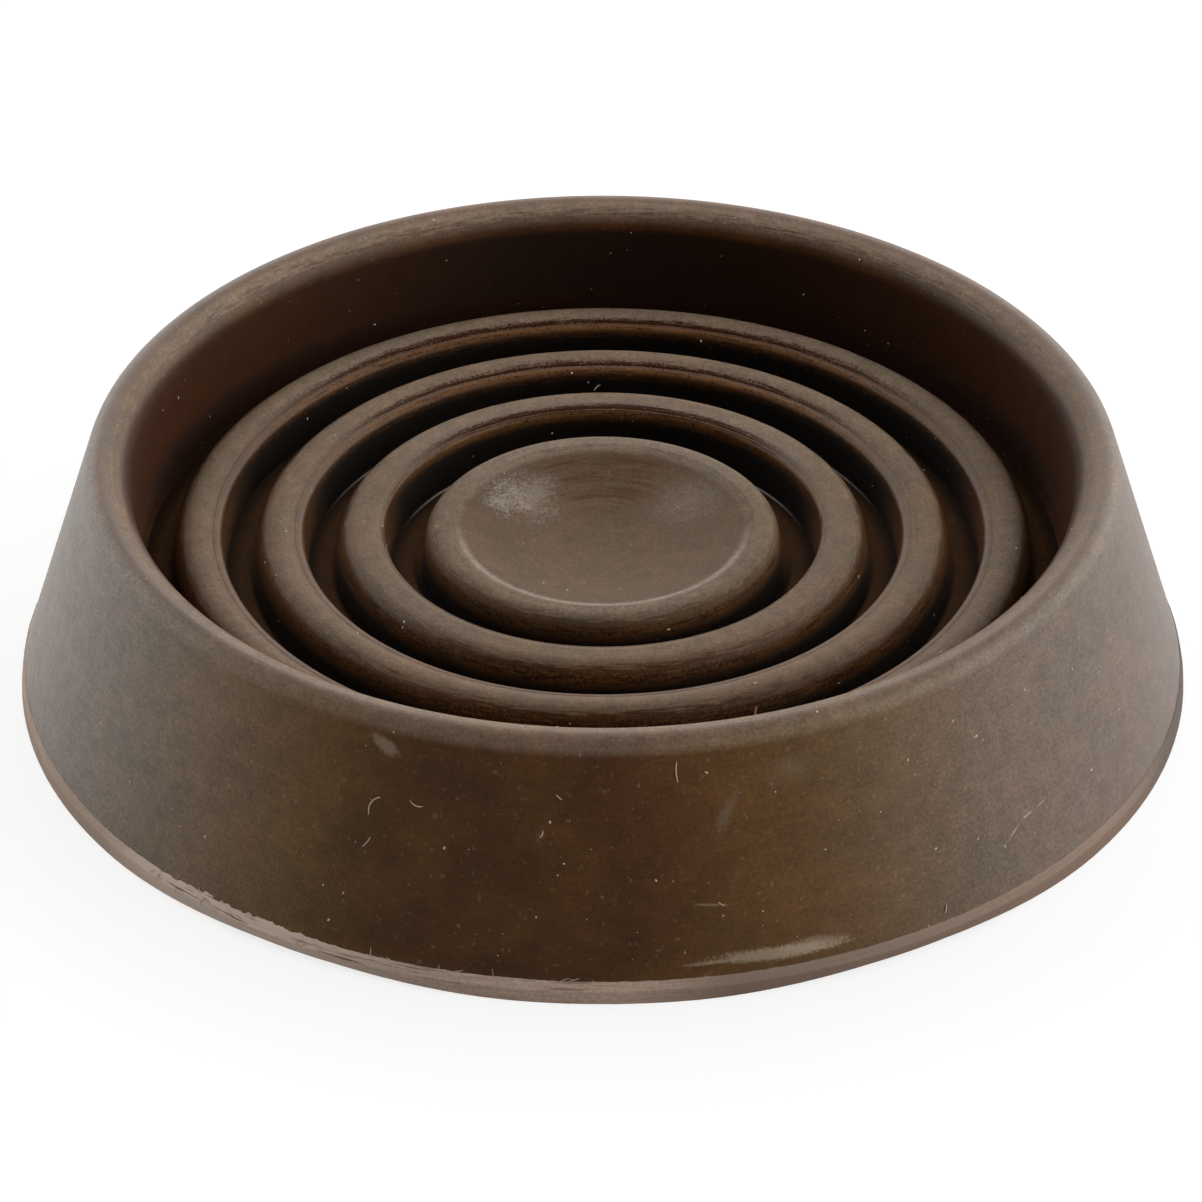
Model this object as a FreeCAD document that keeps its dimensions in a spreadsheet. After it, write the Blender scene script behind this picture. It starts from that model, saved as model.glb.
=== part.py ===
import FreeCAD, Part
import Sketcher
import math
import os
import re

# A castor cup moulded in one piece of rubber: a flared round foot with a full-round rim, and a
# recess whose floor carries rounded ring ridges about a dished centre button.
# The cup stands on z = 0 with its axis on +Z. Radii grow outwards from the button in one chain,
# so that the ridges, the grooves, the wall and the flared outside all follow a change of size.

NODE = "castor_cup"

# Driving dimensions in millimetres, apart from the three counts
SIZES = {
    # a round is made of short flats: how many there are in a quarter turn
    "broad_flats": 3,            # of a broad round
    "edge_flats": 2,             # of a small edge
    # centre button
    "button_radius": 11.8,       # foot of the button on the recess floor
    "button_rise": 3.2,          # button top above the recess floor
    "button_lean": 0.45,         # how far the button's flank leans in over its height
    "button_round": 1.1,         # round of the button's outer edge
    "lip_width": 1.05,           # flat lip between that round and the dish
    "dish_depth": 1.8,           # dish centre below the lip
    # ring ridges
    "ring_count": 3,
    "ring_width": 3.55,          # ridge across its two feet
    "ring_rise": 3.05,           # ridge top above the recess floor
    "ring_inner_lean": 0.2,      # lean of the steep flank that faces the axis
    "ring_outer_lean": 0.4,      # lean of the flank that faces the wall
    "ring_inner_round": 0.45,    # small shoulder towards the axis
    "ring_outer_round": 1.2,     # broad shoulder towards the wall
    # grooves
    "groove_width": 1.75,        # groove floor between two ridges
    "end_groove_width": 2.05,    # groove floor beside the button and beside the wall
    # wall and foot
    "floor_height": 8.8,         # recess floor above the underside
    "recess_depth": 8.3,         # rim top above the recess floor
    "wall_lean": 0.45,           # how far the recess opens from its floor to the rim
    "rim_round": 1.6,            # radius of the full-round rim
    "flare": 4.0,                # how far the outside spreads from the rim to its foot
    "band_height": 1.55,         # upright band left where the moulding was trimmed
    "band_step": 0.3,            # how far the band stands proud of the flared side
}

# Radii and heights that follow from the driving dimensions
RING_PITCH = "(ring_width + groove_width)"
FIRST_RING = "(button_radius + end_groove_width)"
WALL_FOOT = f"({FIRST_RING} + ring_count * {RING_PITCH} - groove_width + end_groove_width)"
RIM_CENTRE = f"({WALL_FOOT} + wall_lean + rim_round)"
FLARE_FOOT = f"({RIM_CENTRE} + rim_round + flare)"
BAND_RADIUS = f"({FLARE_FOOT} + band_step)"
RIM_CENTRE_HEIGHT = "(floor_height + recess_depth - rim_round)"
BUTTON_TOP = "(floor_height + button_rise)"
BUTTON_TOP_RADIUS = "(button_radius - button_lean)"
DISH_RADIUS = f"({BUTTON_TOP_RADIUS} - button_round - lip_width)"
DISH_FLOOR = f"({BUTTON_TOP} - dish_depth)"
RING_TOP = "(floor_height + ring_rise)"

# Names for the sketcher's own numbers
AXIS_ACROSS = -1
AXIS_UP = -2
ORIGIN = (-1, 1)
START = 1
END = 2
CENTRE = 3

SKETCH_NORMAL = FreeCAD.Vector(0, 0, 1)

doc = FreeCAD.newDocument(NODE)


def make_sheet():
    """Write the driving dimensions to a sheet, one named cell each."""
    page = doc.addObject("Spreadsheet::Sheet", "Sizes")
    for row, (alias, value) in enumerate(SIZES.items(), start=1):
        page.set(f"A{row}", alias)
        page.set(f"B{row}", str(value))
        page.setAlias(f"B{row}", alias)
    doc.recompute()
    return page


sheet = make_sheet()


def bound(size):
    """The same expression with every alias looked up in the sheet."""
    return re.sub(r"[a-z]\w*", r"Sizes.\g<0>", size)


def value_of(size):
    """The number that an expression gives now."""
    return float(sheet.evalExpression(bound(size)))


def point(radius, height):
    """A point of a section, from its radius and its height."""
    return FreeCAD.Vector(value_of(radius), value_of(height), 0)


def new_section(body, name):
    """An empty sketch on the body's own upright plane: across is the radius, up is the height."""
    upright = [plane for plane in body.Origin.OriginFeatures if plane.Role == "XZ_Plane"][0]
    sketch = body.newObject("Sketcher::SketchObject", name)
    sketch.AttachmentSupport = (upright, "")
    sketch.MapMode = "FlatFace"
    return sketch


def bind(sketch, kind, where, size):
    """Add a dimension to a sketch and tie it to the sheet."""
    index = sketch.addConstraint(Sketcher.Constraint(kind, *where, value_of(size)))
    sketch.setExpression(f"Constraints[{index}]", bound(size))


def pin(sketch, item, end, radius, height):
    """Hold one end of a line or an arc at a radius and a height."""
    for kind, size, axis in (("DistanceX", radius, AXIS_UP), ("DistanceY", height, AXIS_ACROSS)):
        if size == "0":
            sketch.addConstraint(Sketcher.Constraint("PointOnObject", item, end, axis))
        else:
            bind(sketch, kind, (*ORIGIN, item, end), size)


def join(sketch, first, second):
    """Let the second item start where the first one ends."""
    sketch.addConstraint(Sketcher.Constraint("Coincident", first, END, second, START))


def round_corners(centre, size, first_quarter, quarters, count):
    """Corners of the flats that stand for a round, turning by quarters about its centre."""
    flats = int(value_of(count))
    corners = []
    for step in range(quarters * flats + 1):
        angle = math.radians(90) * (first_quarter + step / flats)
        across = f"{centre[0]} + {size} * {math.cos(angle):.6f}"
        up = f"{centre[1]} + {size} * {math.sin(angle):.6f}"
        corners.append((across, up))
    return corners


def draw_lines(sketch, corners):
    """Draw lines from corner to corner, each corner held at its radius and height."""
    lines = []
    for here, there in zip(corners, corners[1:]):
        line = sketch.addGeometry(Part.LineSegment(point(*here), point(*there)), False)
        pin(sketch, line, START, *here)
        if lines:
            join(sketch, lines[-1], line)
        lines.append(line)
    return lines


def draw_loop(sketch, corners):
    """Draw lines round all the corners and back to the first one."""
    lines = draw_lines(sketch, [*corners, corners[0]])
    join(sketch, lines[-1], lines[0])


def revolve(body, sketch, name):
    """Turn a section once about the cup's axis and add it to the body."""
    turned = body.newObject("PartDesign::Revolution", name)
    turned.Profile = sketch
    turned.ReferenceAxis = (sketch, ["V_Axis"])
    turned.Angle = 360
    doc.recompute()
    return turned


def add_blank(body):
    """The cup without its ridges: band, flared side, full-round rim, wall and flat floor."""
    sketch = new_section(body, "BlankSection")
    corners = [
        ("0", "0"),
        (BAND_RADIUS, "0"),
        (BAND_RADIUS, "band_height"),
        (FLARE_FOOT, "band_height"),
        *round_corners((RIM_CENTRE, RIM_CENTRE_HEIGHT), "rim_round", 0, 2, "broad_flats"),
        (WALL_FOOT, "floor_height"),
        ("0", "floor_height"),
    ]
    draw_loop(sketch, corners)
    return revolve(body, sketch, "Blank")


def add_ring(body, number):
    """One ridge, counted outwards from one: steep towards the axis, broadly rounded towards the wall."""
    sketch = new_section(body, f"RingSection{number}")
    inner_foot = f"{FIRST_RING} + {number - 1} * {RING_PITCH}"
    outer_foot = f"{inner_foot} + ring_width"
    outer_centre = (f"{outer_foot} - ring_outer_lean - ring_outer_round", f"{RING_TOP} - ring_outer_round")
    inner_centre = (f"{inner_foot} + ring_inner_lean + ring_inner_round", f"{RING_TOP} - ring_inner_round")
    corners = [
        (inner_foot, "floor_height"),
        (outer_foot, "floor_height"),
        *round_corners(outer_centre, "ring_outer_round", 0, 1, "broad_flats"),
        *round_corners(inner_centre, "ring_inner_round", 1, 1, "edge_flats"),
    ]
    draw_loop(sketch, corners)
    return revolve(body, sketch, f"Ring{number}")


def add_button(body):
    """The centre button: a flat lip about a shallow round dish."""
    sketch = new_section(body, "ButtonSection")
    edge_centre = (f"{BUTTON_TOP_RADIUS} - button_round", f"{BUTTON_TOP} - button_round")
    corners = [
        ("0", DISH_FLOOR),
        ("0", "floor_height"),
        ("button_radius", "floor_height"),
        *round_corners(edge_centre, "button_round", 0, 1, "broad_flats"),
        (DISH_RADIUS, BUTTON_TOP),
    ]
    lines = draw_lines(sketch, corners)
    pin(sketch, lines[-1], END, *corners[-1])

    # The dish is part of a ball whose centre lies on the axis above it
    ball_radius = f"({DISH_RADIUS} ^ 2 + dish_depth ^ 2) / (2 * dish_depth)"
    ball_centre = point("0", f"{DISH_FLOOR} + {ball_radius}")
    ball = Part.Circle(ball_centre, SKETCH_NORMAL, value_of(ball_radius))
    dish_start = ball.parameter(point("0", DISH_FLOOR))
    dish_end = ball.parameter(point(DISH_RADIUS, BUTTON_TOP))
    dish = sketch.addGeometry(Part.ArcOfCircle(ball, dish_start, dish_end), False)
    sketch.addConstraint(Sketcher.Constraint("PointOnObject", dish, CENTRE, AXIS_UP))
    sketch.addConstraint(Sketcher.Constraint("Coincident", dish, START, lines[0], START))
    sketch.addConstraint(Sketcher.Constraint("Coincident", dish, END, lines[-1], END))
    return revolve(body, sketch, "Button")


def make_cup():
    """The whole cup: its blank, then its ridges and button."""
    body = doc.addObject("PartDesign::Body", "Cup")
    body.Label = NODE
    add_blank(body)
    for number in range(1, int(value_of("ring_count")) + 1):
        add_ring(body, number)
    add_button(body)
    return body


def check(body):
    """Stop unless every object is sound and the cup is one valid solid."""
    for item in doc.Objects:
        if "Invalid" in item.State or "Error" in item.State:
            raise RuntimeError(f"{item.Label} did not build: {item.State}")
    shape = body.Shape
    if shape.isNull() or not shape.isValid() or len(shape.Solids) != 1:
        raise RuntimeError(f"{body.Label} is not one valid solid")


cup = make_cup()
doc.recompute()
check(cup)
os.makedirs("parts", exist_ok=True)
cup.Shape.exportStep(f"parts/{cup.Label}.step")
box = cup.Shape.optimalBoundingBox()
print(f"{cup.Label}: {box.XLength:.2f} x {box.YLength:.2f} x {box.ZLength:.2f} mm")
print(f"volume {cup.Shape.Volume:.0f} mm3")
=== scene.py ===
import math
import random
from functools import partial

import bpy
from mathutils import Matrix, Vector


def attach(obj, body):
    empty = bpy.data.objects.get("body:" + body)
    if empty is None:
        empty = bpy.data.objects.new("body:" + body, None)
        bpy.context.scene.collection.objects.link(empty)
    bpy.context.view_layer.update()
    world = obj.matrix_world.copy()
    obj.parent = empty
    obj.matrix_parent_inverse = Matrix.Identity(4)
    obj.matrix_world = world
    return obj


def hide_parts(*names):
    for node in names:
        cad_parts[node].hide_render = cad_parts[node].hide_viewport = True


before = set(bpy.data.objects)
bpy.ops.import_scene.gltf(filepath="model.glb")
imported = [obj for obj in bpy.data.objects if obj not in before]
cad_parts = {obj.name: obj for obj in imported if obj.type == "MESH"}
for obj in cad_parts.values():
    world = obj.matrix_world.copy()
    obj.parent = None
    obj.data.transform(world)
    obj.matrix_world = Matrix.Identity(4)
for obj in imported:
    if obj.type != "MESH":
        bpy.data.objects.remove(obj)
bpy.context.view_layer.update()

# A castor cup moulded in one piece of brown rubber, seen from the front and a little above.
# It stands on z = 0 with its axis on +Z, and the camera looks along +Y. Sizes in the
# dictionaries are millimetres and angles degrees. A turn is counted from the front, to the right.

mm = 0.001
frontAngle = 270.0  # the front, as the lathe counts its angles


def linear(hexColour):
    levels = [int(hexColour[i:i + 2], 16) / 255 for i in (1, 3, 5)]
    return [v / 12.92 if v <= 0.04045 else ((v + 0.055) / 1.055) ** 2.4 for v in levels] + [1.0]


def setInputs(node, inputs):
    # an input is a plain value, a socket, or a node whose first live output is meant
    for key, value in inputs.items():
        if isinstance(value, bpy.types.Node):
            value = next(socket for socket in value.outputs if socket.enabled)
        if isinstance(value, bpy.types.NodeSocket):
            node.id_data.links.new(value, node.inputs[key])
        else:
            node.inputs[key].default_value = value


def addNode(tree, kind, inputs=None, **settings):
    node = tree.nodes.new(kind)
    for name, value in settings.items():
        setattr(node, name, value)
    setInputs(node, inputs or {})
    return node


def newTree(name, sockets):
    # a geometry tree with named inputs; returns it with what adds its nodes and with its inputs
    tree = bpy.data.node_groups.new(name, "GeometryNodeTree")
    tree.interface.new_socket("Geometry", in_out="OUTPUT", socket_type="NodeSocketGeometry")
    for label, kind in {"Geometry": "Geometry", **sockets, "Material": "Material"}.items():
        tree.interface.new_socket(label, in_out="INPUT", socket_type=f"NodeSocket{kind}")
    add = partial(addNode, tree)
    return tree, add, add("NodeGroupInput").outputs


def closeTree(add, given, geometry):
    # every tree ends in one smooth, painted mesh
    smooth = add("GeometryNodeSetShadeSmooth", {"Geometry": geometry})
    whole = add("GeometryNodeRealizeInstances", {"Geometry": smooth})
    painted = add("GeometryNodeSetMaterial", {"Geometry": whole, "Material": given["Material"]})
    add("NodeGroupOutput", {0: painted})


def applyTree(piece, tree, values):
    modifier = piece.modifiers.new(tree.name, "NODES")
    modifier.node_group = tree
    for item in tree.interface.items_tree:
        if item.in_out == "INPUT" and item.name in values:
            modifier[item.identifier] = values[item.name]


def settle(piece):
    # what the trees made becomes the piece's own plain mesh
    depsgraph = bpy.context.evaluated_depsgraph_get()
    mesh = bpy.data.meshes.new_from_object(piece.evaluated_get(depsgraph), depsgraph=depsgraph)
    piece.modifiers.clear()
    piece.data = mesh
    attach(piece, "root")
    print(piece.name, "faces", len(mesh.polygons))


def newPiece(name, mesh):
    piece = bpy.data.objects.new(name, mesh)
    bpy.context.scene.collection.objects.link(piece)
    return piece


def lineMesh(name, points, edges):
    mesh = bpy.data.meshes.new(name)
    mesh.from_pydata([[size * mm for size in point] for point in points], edges, [])
    return mesh


sectionColumns = ("cornerRound", "runStep", "stray", "lift", "trim")


def sectionPiece(name, corners, closed=False):
    # a chain of corners: radius, height, corner round, longest step on the run that follows,
    # how far the corner strays in and out, how far it can be torn up along the flared side and
    # how far it is trimmed up beside the front
    corners = [(*corner, 0, 0, 0)[:2 + len(sectionColumns)] for corner in corners]
    edges = [(i, i + 1) for i in range(len(corners) - 1)]
    if closed:
        edges.append((len(corners) - 1, 0))
    mesh = lineMesh(name, [(corner[0], 0, corner[1]) for corner in corners], edges)
    for place, label in enumerate(sectionColumns, start=2):
        layer = mesh.attributes.new(label, "FLOAT", "POINT")
        layer.data.foreach_set("value", [corner[place] * mm for corner in corners])
    return newPiece(name, mesh)


lathe = {
    "arcSteps": 5.0,  # on a round, times the root of its radius
    "fewestSteps": 2.0,  # added to them
    "strayDetail": 3.0,
    "tearDetail": 4.0,
    "tearFrom": 0.42,  # levels of the noise between which a torn edge climbs
    "tearTo": 0.72,
    "tearPlace": 3.7,  # sets the tears apart from the straying
    "mergeReach": 0.0005,
}


def makeLatheTree():
    # rounds the corners of a section, divides its runs and turns it about the axis
    tree, add, given = newTree("turnedSection", {
        "Turns": "Int", "Closed": "Int", "Stray Size": "Float", "Torn Middle": "Float", "Torn Half": "Float",
        "Untorn Share": "Float", "Slope": "Float", "Trim Middle": "Float", "Trim Half": "Float"})
    chain = add("GeometryNodeMeshToCurve", {"Mesh": given["Geometry"]})
    own = {label: add("GeometryNodeInputNamedAttribute", {"Name": label}, data_type="FLOAT")
           for label in sectionColumns}
    roundMm = add("ShaderNodeMath", {0: own["cornerRound"], 1: 1 / mm}, operation="MULTIPLY")
    root = add("ShaderNodeMath", {0: roundMm}, operation="SQRT")
    arcSteps = add("ShaderNodeMath", {0: root, 1: lathe["arcSteps"], 2: lathe["fewestSteps"]},
                   operation="MULTIPLY_ADD")
    rounded = add("GeometryNodeFilletCurve", {
        "Curve": chain, "Count": arcSteps, "Radius": own["cornerRound"], "Limit Radius": True}, mode="POLY")

    # runs longer than their step are cut
    place = add("GeometryNodeInputPosition")
    index = add("GeometryNodeInputIndex")
    follower = add("FunctionNodeIntegerMath", {0: index, 1: 1}, operation="ADD")
    nextPlace = add("GeometryNodeFieldAtIndex", {"Value": place, "Index": follower}, data_type="FLOAT_VECTOR")
    run = add("ShaderNodeVectorMath", {0: place, 1: nextPlace}, operation="DISTANCE").outputs["Value"]
    cuts = add("ShaderNodeMath", {0: run, 1: own["runStep"]}, operation="DIVIDE")
    section = add("GeometryNodeSubdivideCurve", {"Curve": rounded, "Cuts": cuts})

    # a grid with one column for each turn step takes its places from the section
    count = add("GeometryNodeAttributeDomainSize", {"Geometry": section}, component="CURVE")
    rows = add("FunctionNodeIntegerMath", {0: count, 1: given["Closed"]}, operation="ADD")
    columns = add("FunctionNodeIntegerMath", {0: given["Turns"], 1: 1}, operation="ADD")
    grid = add("GeometryNodeMeshGrid", {"Vertices X": columns, "Vertices Y": rows})
    column = add("FunctionNodeIntegerMath", {0: index, 1: rows}, operation="DIVIDE_FLOOR")
    row = add("FunctionNodeIntegerMath", {0: index, 1: rows}, operation="MODULO")
    sectionPoint = add("FunctionNodeIntegerMath", {0: row, 1: count}, operation="MODULO")
    source = {"Geometry": section, "Index": sectionPoint}
    profile = add("GeometryNodeSampleIndex", {**source, "Value": place}, data_type="FLOAT_VECTOR")
    taken = {label: add("GeometryNodeSampleIndex", {**source, "Value": own[label]}, data_type="FLOAT")
             for label in ("stray", "lift", "trim")}
    share = add("ShaderNodeMath", {0: column, 1: given["Turns"]}, operation="DIVIDE")
    angle = add("ShaderNodeMath", {0: share, 1: 2 * math.pi}, operation="MULTIPLY")
    turned = add("ShaderNodeVectorRotate", {"Vector": profile, "Angle": angle}, rotation_type="Z_AXIS")

    # edges stray in and out
    pattern = add("ShaderNodeMath", {0: 1.0, 1: given["Stray Size"]}, operation="DIVIDE")
    waver = add("ShaderNodeTexNoise", {"Vector": turned, "Scale": pattern, "Detail": lathe["strayDetail"]})
    sway = add("ShaderNodeMath", {0: waver, 1: 2.0, 2: -1.0}, operation="MULTIPLY_ADD")
    swayed = add("ShaderNodeMath", {0: sway, 1: taken["stray"]}, operation="MULTIPLY")

    # torn ones climb the flared side
    tear = add("ShaderNodeTexNoise", {
        "Vector": turned, "W": lathe["tearPlace"], "Scale": pattern, "Detail": lathe["tearDetail"]},
        noise_dimensions="4D")
    climbing = add("ShaderNodeMapRange", {
        "Value": tear, "From Min": lathe["tearFrom"], "From Max": lathe["tearTo"]})
    fromTear = add("ShaderNodeMath", {0: angle, 1: given["Torn Middle"]}, operation="SUBTRACT")
    fromTearBy = add("ShaderNodeMath", {0: fromTear}, operation="ABSOLUTE")
    tornShare = add("ShaderNodeMapRange", {
        "Value": fromTearBy, "From Min": given["Torn Half"], "From Max": 0.0,
        "To Min": given["Untorn Share"]}, interpolation_type="SMOOTHSTEP")
    torn = add("ShaderNodeMath", {0: climbing, 1: tornShare}, operation="MULTIPLY")
    lifted = add("ShaderNodeMath", {0: torn, 1: taken["lift"]}, operation="MULTIPLY")
    inward = add("ShaderNodeMath", {0: lifted, 1: given["Slope"]}, operation="MULTIPLY")
    outward = add("ShaderNodeMath", {0: swayed, 1: inward}, operation="SUBTRACT")
    level = add("ShaderNodeVectorMath", {0: turned, 1: (1, 1, 0)}, operation="MULTIPLY")
    radial = add("ShaderNodeVectorMath", {0: level}, operation="NORMALIZE")
    across = add("ShaderNodeVectorMath", {0: radial, "Scale": outward}, operation="SCALE")

    # left and right of the front the trimmed edge runs higher
    fromTrimBy = angle
    for middle in (math.radians(frontAngle), given["Trim Middle"]):
        fromMiddle = add("ShaderNodeMath", {0: fromTrimBy, 1: middle}, operation="SUBTRACT")
        fromTrimBy = add("ShaderNodeMath", {0: fromMiddle}, operation="ABSOLUTE")
    trimShare = add("ShaderNodeMapRange", {
        "Value": fromTrimBy, "From Min": given["Trim Half"], "From Max": 0.0},
        interpolation_type="SMOOTHSTEP")
    raised = add("ShaderNodeMath", {0: trimShare, 1: taken["trim"], 2: lifted}, operation="MULTIPLY_ADD")
    upward = add("ShaderNodeCombineXYZ", {"Z": raised})
    offset = add("ShaderNodeVectorMath", {0: across, 1: upward}, operation="ADD")

    placed = add("GeometryNodeSetPosition", {"Geometry": grid, "Position": turned, "Offset": offset})
    merged = add("GeometryNodeMergeByDistance", {"Geometry": placed, "Distance": lathe["mergeReach"] * mm})
    closeTree(add, given, merged)
    return tree


cup = {
    "turns": 300,
    "floorHeight": 8.8,
    "rimTop": 17.0,
    "rimRound": 1.15,
    "rimInnerRound": 1.85,
    "wallFoot": 30.05,
    "wallFootRound": 0.25,
    "wallTop": 30.75,  # where the wall's line would meet the rim's top
    "coneTop": 33.32,  # where the flared side's line would meet the rim's top
    "coneFoot": 37.743,
    "coneFootHeight": 1.4,
    "underEdge": 37.55,
    "underRound": 0.3,
    "ridgeFeet": (24.45, 19.15, 13.85),
    "ridgePitch": 5.3,
    "ridgeWidth": 3.55,
    "ridgeTop": 11.87,
    "ridgeLean": 0.36,  # of a ridge's outer flank
    "ridgeRound": 1.35,
    "crestRound": 1.7,  # as a share of the crest's fall
    "shoulderTops": (11.62, 11.62, 11.74),  # small shoulder on a ridge's inner edge
    "shoulderFall": 0.12,
    "shoulderLean": 0.3,
    "shoulderRound": 0.42,
    "toolLines": (0.9, 0.9, 0.58),  # from a ridge's inner foot to the line that the mould's tool left
    "crestFalls": (0.7, 0.7, 0.42),  # from that line to the level part of the crest
    "lineWidth": 0.05,
    "lineDepth": 0.02,
    "lineRun": 0.08,  # from the line's bottom back up to the shoulder
    "lineRound": 0.03,
    "lineRunRound": 0.05,
    "lineStray": 0.05,
    "straySize": 1.8,
    "grooveRound": 0.2,
    "buttonFoot": 11.8,
    "buttonEdge": 11.38,
    "buttonTop": 11.93,
    "buttonRound": 1.15,
    "lipInner": 9.9,
    "lipFall": 0.02,
    "lipRound": 0.3,
    "dishRadius": 9.3,
    "dishEdge": 11.7,
    "dishEdgeRound": 0.06,
    "dishFloor": 10.2,
    "dishShare": 0.99,  # of the dish's ball, so that its round stays within its corner
}
coneSlope = (cup["coneFoot"] - cup["coneTop"]) / (cup["rimTop"] - cup["coneFootHeight"])


def coneRadius(height):
    return cup["coneFoot"] - (height - cup["coneFootHeight"]) * coneSlope


def turnedPoint(turn, radius, height):
    angle = math.radians(turn)
    return radius * math.sin(angle), -radius * math.cos(angle), height


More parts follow.
